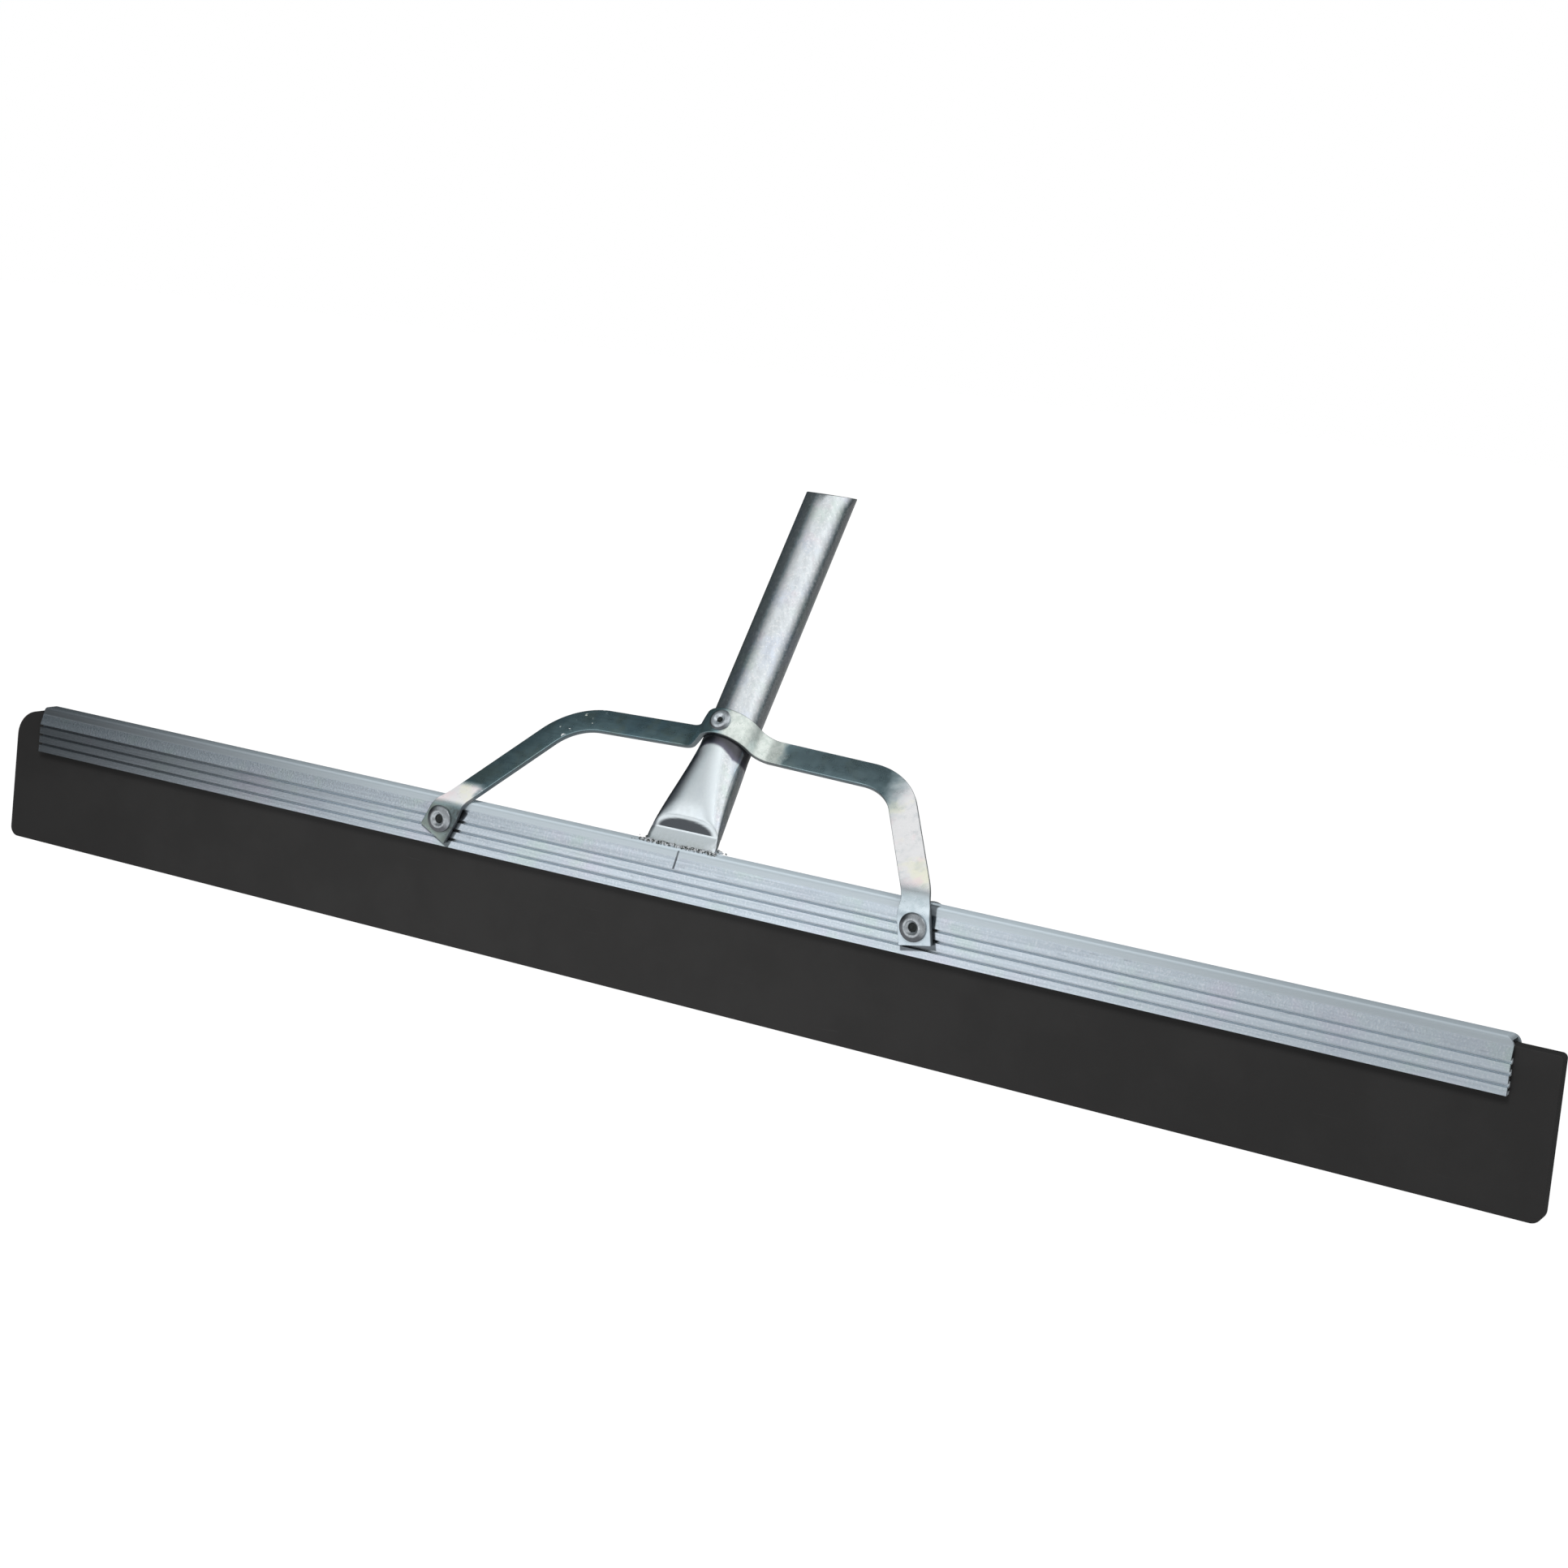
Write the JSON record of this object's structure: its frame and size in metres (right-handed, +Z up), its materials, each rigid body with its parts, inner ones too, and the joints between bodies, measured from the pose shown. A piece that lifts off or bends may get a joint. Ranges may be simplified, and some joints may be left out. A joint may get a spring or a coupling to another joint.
{
  "type": "floor squeegee",
  "caption": "Straight floor squeegee head: rubber blade in a ribbed zinc-plated channel, with a welded handle socket and a riveted flat-bar brace.",
  "frame": {"origin": "middle of the blade's lower edge, at half the blade's thickness", "axes": "+X along the blade, +Z up from the blade's edge to the channel, -Y the front with the brace's feet; the socket leans back towards +Y"},
  "size_m": [0.75, 0.1241, 0.2135],
  "materials": {
    "zinc_channel": "satin zinc-plated sheet, bluish",
    "black_rubber": "matte black squeegee rubber",
    "zinc_tube": "bright zinc-plated tube",
    "zinc_strap": "zinc-plated flat bar with faint yellow passivation",
    "rivet_steel": "satin steel rivet",
    "dark_pin_steel": "dark broken-off rivet pin",
    "weld_metal": "rough grey weld under zinc"
  },
  "bodies": {
    "root": {"channel": "zinc_channel", "rubber_blade": "black_rubber", "socket_tube": "zinc_tube", "brace_strap": "zinc_strap", "foot_rivet_left": "rivet_steel", "foot_rivet_right": "rivet_steel", "socket_rivet": "rivet_steel", "foot_rivet_pin_left": "dark_pin_steel", "foot_rivet_pin_right": "dark_pin_steel", "socket_rivet_pin": "dark_pin_steel", "backing_washer_left": "rivet_steel", "backing_washer_right": "rivet_steel", "weld_bead_front": "weld_metal", "weld_bead_rear": "weld_metal"}
  },
  "joints": []
}
